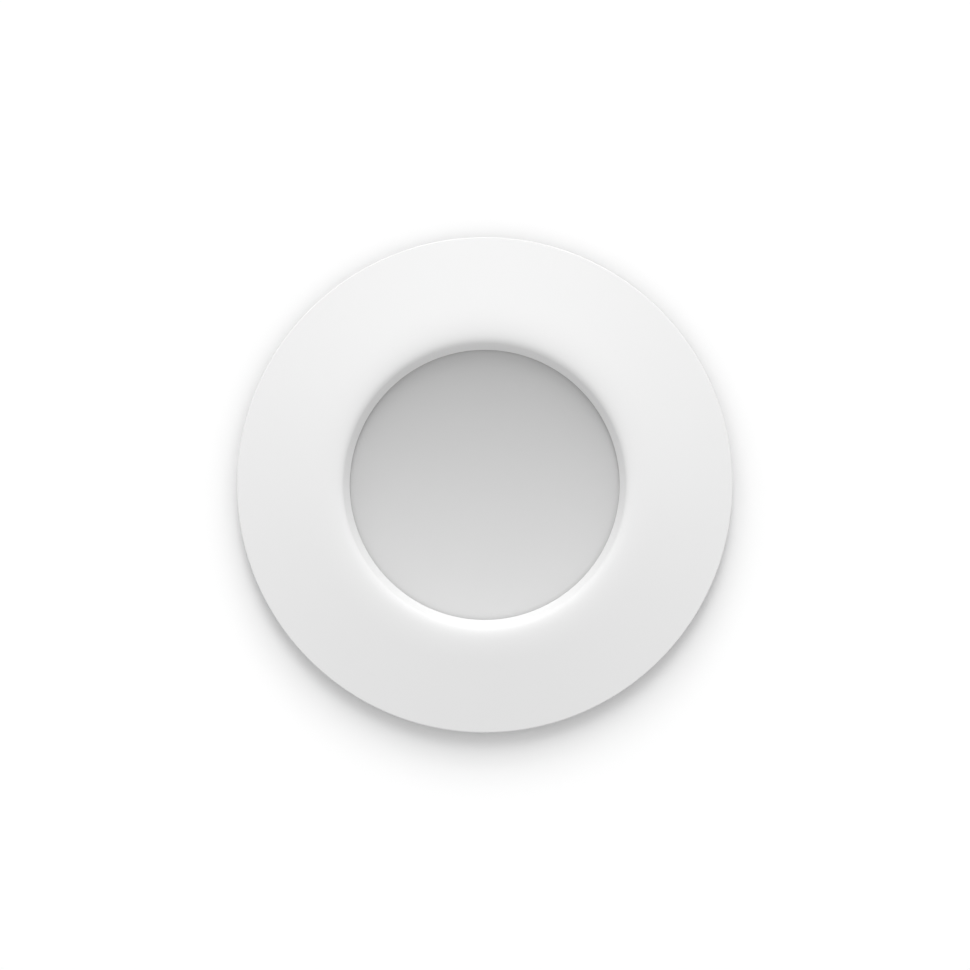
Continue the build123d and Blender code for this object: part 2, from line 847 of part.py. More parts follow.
def terminal_springs():
    """One bent clamp spring in each cavity: a base strip and a blade that leans into the wire's way."""
    strip = spring_strip
    half = spring_half_width
    springs = []
    for side in (-1, 1):
        x = side * pole_offset
        base_low = cavity_z[0] + slide_gap
        base_y = (lead_exit_y + mains_lead_radius + fit_gap, cavity_y[1] - fit_gap)
        base = block((x - half, x + half), base_y, (base_low, base_low + strip))
        upright_top = wire_entry_height + spring_rise
        upright_y = (base_y[0], base_y[0] + strip)
        upright = block((x - half, x + half), upright_y, (base_low, upright_top))
        blade_y = (base_y[0], base_y[0] + spring_blade)
        blade = block((x - half, x + half), blade_y, (upright_top - strip, upright_top))
        springs.append(base + upright + blade)
    return springs


def release_button(side):
    """Push button: cap, stem through the block's slot and a wider foot that keeps it in."""
    x = side * pole_offset
    cap_front = block_back + button_travel + slide_gap
    stem_x = (x - slot_half_x, x + slot_half_x)
    stem_y = (button_y - slot_half_y, button_y + slot_half_y)
    foot_back = cavity_z[1] - stop_gap
    foot_front = foot_back - button_foot_height
    cap_x = (stem_x[0] - button_cap_margin, stem_x[1] + button_cap_margin)
    cap_y = (stem_y[0] - button_cap_margin, stem_y[1] + button_cap_margin)
    cap = block(cap_x, cap_y, (cap_front, cap_front + button_cap_height))
    cap = fillet(cap.edges().filter_by(Axis.Z), button_cap_round)
    stem = block(stem_x, stem_y, (foot_front, cap_front + join))
    foot_y = (stem_y[0] - fit_gap * 3, stem_y[1] + fit_gap * 3)
    return cap + stem + block(stem_x, foot_y, (foot_front, foot_back))


def terminal_lid():
    """Hinged lid of the terminal chamber: plate, hinge knuckle and two finger tabs."""
    low = chamber_back + slide_gap
    high = low + lid_thickness
    plate = block(
        (-chamber_half_width, chamber_half_width), (-chamber_half_length, chamber_half_length), (low, high)
    )
    plate = fillet(plate.edges().filter_by(Axis.Z).group_by(Axis.Y)[-1], lid_corner)
    plate = fillet(plate.faces().sort_by(Axis.Z)[-1].edges(), lid_edge_round)
    knuckle_half = ear_inner - 3 * slide_gap
    plate += rod_x(knuckle_radius, -knuckle_half, knuckle_half, hinge_y, hinge_z)
    web_y = (hinge_y, -chamber_half_length + lid_web)
    plate += block((-knuckle_half, knuckle_half), web_y, (low, hinge_z + knuckle_radius))
    for side in (-1, 1):
        tab_end = chamber_half_width - tab_inset
        tab_x = sorted((side * (tab_end - tab_width), side * tab_end))
        tab_y = (chamber_half_length + fit_gap, chamber_half_length + fit_gap + tab_thickness)
        tab = block(tab_x, tab_y, (low - tab_drop, high - lid_edge_round))
        tab += block(tab_x, (chamber_half_length - lid_web, tab_y[1]), (low, high - lid_edge_round))
        plate += tab
    return plate - rod_x(hinge_pin_radius + pin_gap, *past(-knuckle_half, knuckle_half), hinge_y, hinge_z)


def lid_pin():
    """Hinge pin held in the cover's ears."""
    half = ear_inner + ear_width
    return rod_x(hinge_pin_radius, -half, half, hinge_y, hinge_z)


def cable_grommet():
    """Rubber bush in the chamber wall, bored for the supply cable."""
    inner_face = chamber_half_length - chamber_wall
    collar = collar_thickness
    bush = turned(
        [
            (cable_radius, inner_face - collar),
            (grommet_collar, inner_face - collar),
            (grommet_collar, inner_face),
            (grommet_groove, inner_face),
            (grommet_groove, chamber_half_length),
            (grommet_collar, chamber_half_length),
            (grommet_collar, chamber_half_length + collar),
            (cable_radius, chamber_half_length + collar),
        ],
        [(1, collar_round), (6, collar_round)],
    )
    return Pos(0, 0, entry_height) * Rot(-90, 0, 0) * bush


def cable_clamp():
    """Clamp bar on the two posts, with a rib that bites on the cable."""
    x_end = clamp_post_x + clamp_half_length
    y_range = (clamp_y - clamp_half_length, clamp_y + clamp_half_length)
    bar = block((-x_end, x_end), y_range, (clamp_bar_front, clamp_bar_front + clamp_bar_thickness))
    bar = fillet(bar.edges().filter_by(Axis.Z), clamp_bar_round)
    rib_y = (clamp_y - clamp_rib, clamp_y + clamp_rib)
    bar += block((-cable_radius, cable_radius), rib_y, (clamp_bar_front - clamp_rib, clamp_bar_front + join))
    for side in (-1, 1):
        hole_z = (clamp_bar_front - cut_past, clamp_bar_front + clamp_bar_thickness + cut_past)
        bar -= disc(through_radius, *hole_z, side * clamp_post_x, clamp_y)
    return bar


def clamp_screws():
    """Two screws through the bar into its posts."""
    seat = clamp_bar_front + clamp_bar_thickness
    screw = pan_screw(clamp_screw_length, height=small_head_height)
    return [Pos(side * clamp_post_x, clamp_y, seat) * screw for side in (-1, 1)]


def mains_lead(side):
    """One lead from the terminal block through the cover to the driver board."""
    x = side * pole_offset
    top = (x, lead_exit_y, cavity_z[0] + join)
    below_cover = (x, lead_exit_y, cover_front - mains_lead_drop)
    above_board = (x, mains_lead_end, driver_back + mains_lead_rise)
    foot = (x, mains_lead_end, driver_back + contact_gap)
    path = FilletPolyline(top, below_cover, above_board, foot, radius=mains_lead_bend)
    section = Plane(top, z_dir=(0, 0, -1)) * Circle(mains_lead_radius)
    return sweep(section, path=path)


def on_clip(shape):
    """Moves a shape from the pivot's own frame, arm level along +X, to the rest pose on the +X side."""
    return Pos(pivot_x, 0, pivot_height) * Rot(0, arm_rest_angle, 0) * shape


# The clip arm rests on the bracket's lip, whose upper face is worked out from the blade's underside
lip_x = bracket_front + lip_reach
rest_slope = radians(arm_rest_angle)
run_to_lip = (lip_x - pivot_x - blade_bottom * sin(rest_slope)) / cos(rest_slope)
lip_back = pivot_height - run_to_lip * sin(rest_slope) + blade_bottom * cos(rest_slope) - stop_gap
bracket_low = lip_back - bracket_sheet
bracket_high = bracket_screw_height + 2 * head_radius


def clip_bracket():
    """Folded steel bracket: back plate, two ears for the pin and the lip that stops the arm."""
    half = bracket_half_width
    plate = block((bracket_face, bracket_front), (-half, half), (bracket_low, bracket_high))
    for y in (-bracket_screw_offset, bracket_screw_offset):
        hole = rod_x(through_radius, *past(bracket_face, bracket_front), y, bracket_screw_height)
        plate -= hole
    ear_y = half - bracket_sheet
    for side in (-1, 1):
        y_range = sorted((side * ear_y, side * half))
        ear = rod_y(ear_half_height, *y_range, pivot_x, pivot_height)
        ear += block(
            (bracket_face, pivot_x), y_range, (pivot_height - ear_half_height, pivot_height + ear_half_height)
        )
        ear -= rod_y(pin_radius + contact_gap, *past(*y_range), pivot_x, pivot_height)
        plate += ear
    lip_half = arm_half_width - arm_sheet
    return plate + block((bracket_face, lip_x), (-lip_half, lip_half), (bracket_low, lip_back))


def bracket_screws():
    """Two screws that hold the bracket on the heat sink."""
    screw = Rot(0, 90, 0) * pan_screw(bracket_screw_length, height=small_head_height, head=small_head_radius)
    offsets = (-bracket_screw_offset, bracket_screw_offset)
    return [Pos(bracket_front, y, bracket_screw_height) * screw for y in offsets]


def clip_pin():
    """Pin through the bracket's ears with a flat head on each end."""
    half = bracket_half_width
    pin = rod_y(pin_radius, -half, half, pivot_x, pivot_height)
    for side in (-1, 1):
        head_range = sorted((side * half, side * (half + pin_head)))
        pin += rod_y(pin_head_radius, *head_range, pivot_x, pivot_height)
    return pin


def blade_half_width(run):
    """Half the blade's width at a distance from the pivot: it narrows to four fifths at the tip."""
    return arm_half_width * (1 - arm_taper * run / arm_length)


def clip_arm():
    """Folded steel arm: tapered blade, two ears on the pin and a relieved heel."""
    heel = coil_radius
    outline = make_face(
        Polyline(
            (heel, -blade_half_width(0)),
            (arm_length, -blade_half_width(arm_length)),
            (arm_length, blade_half_width(arm_length)),
            (heel, blade_half_width(0)),
            close=True,
        )
    )
    tip = outline.vertices().group_by(Axis.X)[-1]
    outline = fillet(tip, arm_tip_round)
    arm = Pos(0, 0, blade_bottom) * extrude(outline, arm_sheet)
    ear_radius = pin_radius + arm_ear_wall
    for side in (-1, 1):
        y_range = sorted((side * (arm_half_width - arm_sheet), side * arm_half_width))
        side_outline = make_face(
            Polyline(
                (heel, blade_bottom),
                (arm_ear_run, blade_bottom),
                (arm_ear_run, blade_top + arm_sheet / 2),
                (ear_radius, ear_radius * 0.6),
                (0, ear_radius),
                (-ear_radius * 0.8, 0),
                close=True,
            )
        )
        wall = Pos(0, y_range[1], 0) * extrude(Plane.XZ * side_outline, arm_sheet)
        wall += rod_y(ear_radius, *y_range, 0, 0)
        arm += wall
    hole = rod_y(pin_radius + pin_gap, *past(-arm_half_width, arm_half_width), 0, 0)
    return on_clip(arm - hole)


def clip_sleeve():
    """Rubber boot over the arm's tip."""
    start = arm_length + sleeve_past_tip - sleeve_length
    end = arm_length + sleeve_past_tip
    half = blade_half_width(start) + sleeve_wall
    z_range = (blade_bottom - sleeve_wall, blade_top + sleeve_wall)
    boot = block((start, end), (-half, half), z_range)
    boot = fillet(boot.edges().filter_by(Axis.Z).group_by(Axis.X)[-1], arm_tip_round + fit_gap)
    boot = fillet(boot.faces().sort_by(Axis.X)[-1].edges().filter_by(Axis.Y), sleeve_round)
    slot_half = blade_half_width(start) + contact_gap
    slot = block(
        (start - cut_past, arm_length + contact_gap),
        (-slot_half, slot_half),
        (blade_bottom - contact_gap, blade_top + contact_gap),
    )
    return on_clip(boot - slot)


def coil_advance(angle, whole):
    """Height of the coil at a turn angle: the pitch eases in and out over a quarter turn."""
    ease = pi / 2
    if angle < ease:
        turns = angle**2 / (2 * ease)
    elif angle > whole - ease:
        turns = whole - ease - (whole - angle) ** 2 / (2 * ease)
    else:
        turns = angle - ease / 2
    return coil_pitch * turns / (2 * pi)


def coil_slope(angle, whole):
    """Rate of coil_advance with the turn angle."""
    ease = pi / 2
    share = min(angle / ease, (whole - angle) / ease, 1.0)
    return coil_pitch * share / (2 * pi)


def two_arcs(start, start_way, end, end_way):
    """Two arcs that join two points with given directions and meet smoothly."""
    chord = end - start
    both_ways = start_way + end_way
    spread = 2 * (1 - start_way.dot(end_way))
    along = chord.dot(both_ways)
    reach = (sqrt(along**2 + spread * chord.dot(chord)) - along) / spread
    first_corner = start + start_way * reach
    second_corner = end - end_way * reach
    middle = (first_corner + second_corner) / 2
    middle_way = (second_corner - first_corner).normalized()
    return [Edge.make_tangent_arc(start, start_way, middle), Edge.make_tangent_arc(middle, middle_way, end)]


def clip_spring():
    """Torsion spring on the pin: one leg stands on the bracket and the other lies on the arm's blade."""
    start_angle = pi
    end_angle = 1.5 * pi - radians(arm_rest_angle) + 2 * pi * coil_turns
    whole = end_angle - start_angle
    half_width = coil_advance(whole, whole) / 2
    pieces = ceil(whole / (pi / 2))

    def place(turn):
        angle = start_angle + turn
        across = coil_advance(turn, whole) - half_width
        return Vector(coil_radius * cos(angle), across, coil_radius * sin(angle))

    def way(turn):
        angle = start_angle + turn
        step = Vector(-coil_radius * sin(angle), coil_slope(turn, whole), coil_radius * cos(angle))
        return step.normalized()

    standing_leg = bracket_screw_height - head_radius - wire_diameter - pivot_height
    lying_leg = arm_length / 2
    edges = [Edge.make_line(place(0) - way(0) * standing_leg, place(0))]
    for piece in range(pieces):
        low = whole * piece / pieces
        high = whole * (piece + 1) / pieces
        edges += two_arcs(place(low), way(low), place(high), way(high))
    edges.append(Edge.make_line(place(whole), place(whole) + way(whole) * lying_leg))
    path = Wire(edges)

    count = 600
    samples = [path.position_at(number / count) for number in range(count + 1)]
    step = path.length / count
    apart = ceil(pi * wire_diameter / step)
    pairs = ((a, b) for a in range(count + 1) for b in range(a + apart, count + 1))
    gap = min((samples[a] - samples[b]).length for a, b in pairs) - wire_diameter
    print(f"clip spring: {whole / (2 * pi):.2f} turns, least gap to itself {gap:.2f} mm")

    section = Plane(path.position_at(0), z_dir=path.tangent_at(0)) * Circle(wire_diameter / 2)
    return Pos(pivot_x, 0, pivot_height) * sweep(section, path=path)


def save_clips():
    """Both clips: the left one is the right one turned half round the lamp's axis."""
    pieces = {
        "bracket": [clip_bracket()],
        "bracket_screws": bracket_screws(),
        "pin": [clip_pin()],
        "spring": [clip_spring()],
        "arm": [clip_arm()],
        "sleeve": [clip_sleeve()],
    }
    for side, angle in clip_angles.items():
        for piece, solids in pieces.items():
            save(f"clip_{side}_{piece}", *[Rot(0, 0, angle) * solid for solid in solids])


def print_sizes():
    """The sizes that the record's mounts, joints and openings state."""
    folded = radians(arm_fold_angle)
    folded_x = pivot_x + sin(folded) * -blade_bottom
    tip_run = (arm_length + sleeve_past_tip) * sin(rest_slope)
    tip_low = pivot_height - tip_run + (blade_bottom - sleeve_wall) * cos(rest_slope)
    print(f"spigot radius {spigot_radius}, from {flange_back} to {spigot_height}")
    print(f"clip pivot x {pivot_x:.3f} height {pivot_height}")
    print(f"folded clip reach {hypot(folded_x, arm_half_width):.2f}")
    print(f"clip travel {arm_rest_angle + arm_fold_angle}, sleeve's lowest point {tip_low:.2f}")
    print(f"lid hinge y {hinge_y:.3f} z {hinge_z:.3f}, cable entry height {entry_height:.3f}")
    print(f"lens from {lens_front:.3f} to {lens_back:.3f}, lip corner {mouth_front:.3f}")
    print(f"board front {board_front:.3f}, plate back {plate_back:.3f}, rim top {rim_top:.3f}")
    print(f"cover from {cover_front:.3f} to {cover_back:.3f}, chamber back {chamber_back:.3f}")


os.makedirs("parts", exist_ok=True)
save("trim_ring", trim_ring())
save("wall_gasket", wall_gasket())
save("lens_gasket", lens_gasket())
save("diffuser_lens", diffuser_lens())
save("body_seal", body_seal())
save("reflector_cup", reflector_cup())
save("led_board", led_board())
save("led_packages", *led_packages())
save("led_phosphors", *led_phosphors())
save("board_screws", *board_screws())
save("thermal_pad", thermal_pad())
save("heat_sink", heat_sink())
save("body_screws", *body_screws())
save("lead_grommet", lead_grommet())
save("led_lead_red", led_lead(1))
save("led_lead_black", led_lead(-1))
save("rear_housing", rear_housing())
save("housing_screws", *housing_screws())
save("driver_board", driver_board())
save("transformer_core", transformer_core())
save("transformer_bobbin", transformer_bobbin())
save("input_capacitor", can_capacitor(input_can_place, input_can_radius, input_can_height))
save("output_capacitor", can_capacitor(output_can_place, output_can_radius, output_can_height))
save("film_capacitor", film_capacitor())
save("choke", choke())
save("rectifier", chip_body(rectifier_place, rectifier_height))
save("driver_chip", chip_body(driver_chip_place, driver_chip_height))
save("fuse", fuse())
save("rear_cover", rear_cover())
save("cover_seal", cover_seal())
save("cover_screws", *cover_screws())
save("terminal_block", terminal_block())
save("terminal_springs", *terminal_springs())
save("release_button_live", release_button(-1))
save("release_button_neutral", release_button(1))
save("terminal_lid", terminal_lid())
save("lid_pin", lid_pin())
save("cable_grommet", cable_grommet())
save("cable_clamp", cable_clamp())
save("clamp_screws", *clamp_screws())
save("mains_lead_live", mains_lead(-1))
save("mains_lead_neutral", mains_lead(1))
save_clips()
print_sizes()
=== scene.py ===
import math

import bpy
import numpy as np
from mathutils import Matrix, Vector


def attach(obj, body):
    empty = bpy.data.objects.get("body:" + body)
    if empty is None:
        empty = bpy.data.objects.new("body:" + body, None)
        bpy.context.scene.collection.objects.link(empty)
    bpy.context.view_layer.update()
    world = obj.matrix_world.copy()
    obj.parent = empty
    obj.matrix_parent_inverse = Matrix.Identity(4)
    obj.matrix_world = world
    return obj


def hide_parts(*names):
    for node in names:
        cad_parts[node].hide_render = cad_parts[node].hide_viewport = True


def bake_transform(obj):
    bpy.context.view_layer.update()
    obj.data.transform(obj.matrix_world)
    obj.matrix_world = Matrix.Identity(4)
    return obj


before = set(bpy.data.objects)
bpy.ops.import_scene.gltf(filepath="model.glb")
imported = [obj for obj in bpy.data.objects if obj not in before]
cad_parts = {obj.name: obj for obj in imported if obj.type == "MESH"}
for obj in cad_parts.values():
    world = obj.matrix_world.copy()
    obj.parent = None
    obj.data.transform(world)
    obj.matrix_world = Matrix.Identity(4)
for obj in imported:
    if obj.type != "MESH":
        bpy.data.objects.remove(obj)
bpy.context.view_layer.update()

# A round recessed light set in a wall, its face along -Y and +Z up.
# Lengths are in millimetres until they go into a mesh; lamps are placed in metres.
millimetre = 0.001

# Trim, recess and lens
flange_radius = 45.0
rim_thickness = 1.0
rim_round = 0.2
face_slope = math.radians(9.6)
aperture_radius = 24.46
recess_depth = 5.2
recess_draft = math.radians(19.87)
lip_wall_run = 1.6
lip_face_run = 6.6
lip_wall_pull = 0.75
lip_face_pull = 0.75
lens_gap = 0.8
lens_thickness = 2.0
lens_radius = 26.5
lens_round = 0.3
lens_dish = 3.4
lens_first_ring = 0.8
tube_inner = 26.7
tube_outer = 28.2
tube_above_lens = 1.2
spigot_radius = 34.5
spigot_inner = 32.5
spigot_top = 9.0
flange_core = 2.5
casting_round = 0.25
groove_round = 0.1
edge_hold = 0.04

# Screw bosses of the trim; a hair-thin core keeps their outline off its own axis
boss_circle = 31.0
boss_radius = 2.2
boss_angles = (90.0, 210.0, 330.0)
boss_core = 0.05
boss_core_round = 0.01

# Foam ring in its groove behind the flange
gasket_proud = 2.8
gasket_thickness = 3.1
gasket_inner = 36.0
gasket_outer = 44.1
gasket_round = 0.22
groove_margin = 0.1

# Levels that follow, from the wall at y = 0
flange_back = -gasket_proud
rim_front = flange_back - rim_thickness
mouth_radius = aperture_radius + (recess_depth - lens_gap) * math.tan(recess_draft)
mouth_front = rim_front - (flange_radius - mouth_radius) * math.tan(face_slope)
lens_front = mouth_front + recess_depth
lens_seat = lens_front - lens_gap
lens_back = lens_front + lens_thickness
tube_top = lens_back + tube_above_lens
pocket_floor = rim_front - (flange_radius - spigot_inner) * math.tan(face_slope) + flange_core

# Clip springs
pivot_x = 31.2
pivot_y = 15.0
wire_radius = 0.4
wire_end_share = 0.8
coil_radius = 1.3
coil_pitch = 1.6
coil_turns = 5
arm_rest_angle = 24.0
standing_leg = 3.265
lying_leg = 14.0
leg_shares = (1.0, 0.97, 0.9, 0.7, 0.4, 0.15)

# Wall sheet: its first ring is hidden behind the foam's edge
sheet_lap = 0.5
sheet_depth = 0.05
sheet_radii = (gasket_outer - sheet_lap, 60.0, 150.0, 600.0, 4000.0)

# Points round the turned pieces and along their curves
ring_segments = 384
foam_segments = 256
boss_segments = 48
sheet_segments = 128
corner_steps = 7
boss_corner_steps = 5
foam_corner_steps = 8
lip_steps = 32
lens_dish_rings = 40
lens_rim_rings = 4
lens_edge_steps = 9
coil_steps = 420
wire_sides = 20

# Camera: widths of the frame and of the ring in pixels, lens and place in millimetres, clip in metres
image_pixels = 970
ring_pixels = 495.0
focal_length = 100.0
sensor_width = 36.0
camera_aside = 0.06
camera_below = 0.02
camera_clip = (0.01, 50.0)

# Soft light: each key lamp in front is (elevation, width, power), the others are (width, height, power)
plain_white = (1.0, 1.0, 1.0)
world_level = 0.69
seen_level = 1.0
lamp_distance = 4.5
key_lamps = ((35, 1.5, 20.6), (45, 1.5, 18.7), (55, 1.5, 13.1), (65, 4.8, 42.0), (75, 1.5, 21.6))
key_height = 1.08
side_azimuths = (-55, 55)
side_elevation = 45
side_lamp = (2.4, 1.8, 16.2)
rear_place = (-1.0, 1.4, 0.9)
rear_lamp = (1.2, 1.2, 8.0)

# Noise: its octaves, and the spans of values over which a mask or a roughness goes from end to end
fine_detail = 3.0
slow_detail = 2.0
whole_span = (0.0, 1.0)
noise_span = (0.3, 0.7)
streak_span = (0.35, 0.65)
pit_span = (0.55, 0.95)
cast_span = (0.2, 1.2)
rub_span = (0.985, 0.86)


def put_mesh(name, points, faces):
    """A smooth object at the origin from an array of points in millimetres and lists of faces."""
    mesh = bpy.data.meshes.new(name)
    mesh.from_pydata((np.asarray(points) * millimetre).tolist(), [], faces)
    mesh.update()
    mesh.polygons.foreach_set("use_smooth", np.full(len(mesh.polygons), True))
    piece = bpy.data.objects.new(name, mesh)
    bpy.context.scene.collection.objects.link(piece)
    return piece


def unit(vectors):
    """Vectors along the last axis, divided by their lengths."""
    return vectors / np.linalg.norm(vectors, axis=-1, keepdims=True)


def band_faces(rows, columns, close_rows):
    """Quads of a grid whose columns close on themselves; its rows also close where close_rows is true."""
    row = np.arange(rows if close_rows else rows - 1)[:, None]
    column = np.arange(columns)[None, :]
    next_row = (row + 1) % rows
    next_column = (column + 1) % columns
    corners = [row * columns + column, row * columns + next_column]
    corners += [next_row * columns + next_column, next_row * columns + column]
    return np.stack(np.broadcast_arrays(*corners), axis=-1).reshape(-1, 4)


def rounded_outline(corners, rounds, steps):
    """A closed outline with filleted corners, as one array of points for each corner.

    With half angle h between a corner's edges and radius r, the arc starts r / tan(h) from the
    corner, its centre is r / sin(h) from it, and its points turn evenly from one edge to the other.
    A holding point on each edge, just beside the arc, keeps the flat faces' normals straight.
    """
    corners = np.array(corners, float)
    earlier, later = np.roll(corners, 1, 0), np.roll(corners, -1, 0)
    share = np.linspace(0, 1, steps)[:, None]
    arcs = []
    for before, corner, after, radius in zip(earlier, corners, later, rounds):
        to_before = unit(before - corner)
        to_after = unit(after - corner)
        half = np.arccos(to_before @ to_after) / 2
        centre = corner + unit(to_before + to_after) * radius / np.sin(half)
        first = corner + to_before * radius / np.tan(half) - centre
        last = corner + to_after * radius / np.tan(half) - centre
        whole = np.pi - 2 * half
        turned_way = np.sin((1 - share) * whole) * first + np.sin(share * whole) * last
        arc = centre + turned_way / np.sin(whole)
        start = arc[:1] + to_before * edge_hold
        end = arc[-1:] + to_after * edge_hold
        arcs.append(np.concatenate([start, arc, end]))
    return arcs


def lip_curve():
    """The lip from the recess wall to the sloped face: a cubic that leaves both along their own directions.

    Its two inner control points lie on the wall and on the face, pulled towards the corner where
    these would meet.
    """
    corner = np.array([mouth_radius, mouth_front])
    wall_end = corner + lip_wall_run * np.array([-math.sin(recess_draft), math.cos(recess_draft)])
    face_end = corner + lip_face_run * np.array([math.cos(face_slope), math.sin(face_slope)])
    wall_pull = wall_end + (corner - wall_end) * lip_wall_pull
    face_pull = face_end + (corner - face_end) * lip_face_pull
    t = np.linspace(0, 1, lip_steps)[:, None]
    wall_side = (1 - t) ** 3 * wall_end + 3 * (1 - t) ** 2 * t * wall_pull
    curve = wall_side + 3 * (1 - t) * t**2 * face_pull + t**3 * face_end
    wall_hold = wall_end + (wall_end - corner) / lip_wall_run * edge_hold
    face_hold = face_end + (face_end - corner) / lip_face_run * edge_hold
    return np.concatenate([[wall_hold], curve, [face_hold]])


def turned(outline, segments, closed=True, x=0.0, z=0.0):
    """Points and faces of an outline of (radius, y) carried round the Y axis; a closed one meets itself.

    The point at angle a is (radius cos a + x, y, radius sin a + z).
    """
    angle = np.linspace(0, 2 * np.pi, segments, endpoint=False)[None, :]
    radius = outline[:, :1]
    height = np.broadcast_to(outline[:, 1:], (len(outline), segments))
    points = np.stack([radius * np.cos(angle) + x, height, radius * np.sin(angle) + z], axis=-1)
    return points.reshape(-1, 3), band_faces(len(outline), segments, closed)


def joined(*surfaces):
    """Several (points, faces) surfaces as one."""
    every_point, every_face, count = [], [], 0
    for points, faces in surfaces:
        every_point.append(points)
        every_face += (faces + count).tolist()
        count += len(points)
    return np.concatenate(every_point), every_face


def capped(points, faces, columns, first_middle, last_middle):
    """A grid of rings whose first and last rings are closed by a fan round one point each."""
    column = np.arange(columns)
    after = (column + 1) % columns
    last = len(points) - columns
    first_fan = np.stack([np.full(columns, len(points)), after, column], axis=1)
    last_fan = np.stack([np.full(columns, len(points) + 1), last + column, last + after], axis=1)
    every_face = faces.tolist() + first_fan.tolist() + last_fan.tolist()
    return np.concatenate([points, [first_middle, last_middle]]), every_face


def trim_casting():
    """The white casting: one turned outline with rounded corners, and its screw bosses.

    The outline goes from the recess wall over the lip, whose curve takes its corner's place, across
    the face and the rim, through the foam's groove, and round the spigot and the lens tube.
    """
    groove_floor = -gasket_thickness
    groove_inner = gasket_inner - groove_margin
    groove_outer = gasket_outer + groove_margin
    recess_foot = [(aperture_radius, lens_seat, casting_round)]
    lip_corner = [(mouth_radius, mouth_front, casting_round)]
    rest = [
        (flange_radius, rim_front, rim_round),
        (flange_radius, flange_back, casting_round),
        (groove_outer, flange_back, groove_round),
        (groove_outer, groove_floor, groove_round),
        (groove_inner, groove_floor, groove_round),
        (groove_inner, flange_back, groove_round),
        (spigot_radius, flange_back, casting_round),
        (spigot_radius, spigot_top, casting_round),
        (spigot_inner, spigot_top, casting_round),
        (spigot_inner, pocket_floor, casting_round),
        (tube_outer, pocket_floor, casting_round),
        (tube_outer, tube_top, casting_round),
        (tube_inner, tube_top, casting_round),
        (tube_inner, lens_seat, casting_round),
    ]
    corners = np.array(recess_foot + lip_corner + rest)
    arcs = rounded_outline(corners[:, :2], corners[:, 2], corner_steps)
    arcs[len(recess_foot)] = lip_curve()
    body = turned(np.concatenate(arcs), ring_segments)

    foot = pocket_floor - casting_round
    boss_corners = np.array([
        (boss_core, foot, boss_core_round),
        (boss_radius, foot, casting_round),
        (boss_radius, spigot_top, casting_round),
        (boss_core, spigot_top, boss_core_round),
    ])
    boss_arcs = rounded_outline(boss_corners[:, :2], boss_corners[:, 2], boss_corner_steps)
    boss = np.concatenate(boss_arcs)
    angles = np.radians(boss_angles)
    places = boss_circle * np.stack([np.cos(angles), -np.sin(angles)], axis=1)
    bosses = [turned(boss, boss_segments, True, x, z) for x, z in places]
    return put_mesh("trim_casting", *joined(body, *bosses))


def foam_ring():
    """The foam gasket: a flat ring, turned from a rectangle with softly rounded corners."""
    front = -gasket_thickness
    corners = [(gasket_inner, front), (gasket_outer, front), (gasket_outer, 0.0), (gasket_inner, 0.0)]
    outline = np.concatenate(rounded_outline(corners, [gasket_round] * len(corners), foam_corner_steps))
    points, faces = turned(outline, foam_segments)
    return put_mesh("foam_ring", points, faces.tolist())


def opal_disc():
    """The lens: a disc with rounded edges, dished inside its flat rim.

    Its outline runs from the middle of the front to the middle of the back, and each middle is
    closed by a fan round one point. The dish is part of a sphere of radius R = (a^2 + d^2) / 2d, with
    a its own radius and d its depth: at radius r it is sqrt(R^2 - r^2) - (R - d) deep.
    """
    arc = np.linspace(0, np.pi / 2, lens_edge_steps)
    bent = lens_radius - lens_round + lens_round * np.sin(arc)
    eased = lens_round * (1 - np.cos(arc))
    inside = np.linspace(lens_first_ring, aperture_radius, lens_dish_rings)
    rim_end = lens_radius - lens_round - edge_hold
    flat = np.linspace(aperture_radius + edge_hold, rim_end, lens_rim_rings)
    bowl = (aperture_radius**2 + lens_dish**2) / (2 * lens_dish)
    dish = np.sqrt(bowl**2 - inside**2) - (bowl - lens_dish)
    radii = np.concatenate([inside, flat, bent])
    front = np.stack([radii, lens_front + np.concatenate([dish, 0 * flat, eased])], axis=1)
    back = np.stack([radii, lens_back + np.concatenate([dish, 0 * flat, -eased])], axis=1)[::-1]
    points, faces = turned(np.concatenate([front, back]), ring_segments, False)
    front_middle = [0, lens_front + lens_dish, 0]
    back_middle = [0, lens_back + lens_dish, 0]
    return put_mesh("opal_disc", *capped(points, faces, ring_segments, front_middle, back_middle))


def spring_path():
    """Middle line of the right clip's torsion spring, about the pivot, and half of its coil's width.

    The coil's point at angle a is (R cos a, R sin a, half - advance), with the pitch eased over a quarter
    turn at both ends; a straight leg leaves each end along the coil's own direction there.
    """
    start_angle = np.pi
    whole = 0.5 * np.pi - np.radians(arm_rest_angle) + 2 * np.pi * coil_turns
    ease = np.pi / 2
    turn = np.linspace(0, whole, coil_steps)
    eased_in = turn**2 / (2 * ease)
    eased_out = whole - ease - (whole - turn) ** 2 / (2 * ease)
    steady = turn - ease / 2
    advance = np.where(turn < ease, eased_in, np.where(turn > whole - ease, eased_out, steady))
    advance = coil_pitch * advance / (2 * np.pi)
    half = advance[-1] / 2
    angle = start_angle + turn
    coil = np.stack([coil_radius * np.cos(angle), coil_radius * np.sin(angle), half - advance], axis=1)
    first_way = np.array([-np.sin(angle[0]), np.cos(angle[0]), 0.0])
    last_way = np.array([-np.sin(angle[-1]), np.cos(angle[-1]), 0.0])
    shares = np.array(leg_shares)[:, None]
    before = coil[0] - first_way * standing_leg * shares
    after = coil[-1] + last_way * lying_leg * shares[::-1]
    return np.concatenate([before, coil, after]), half


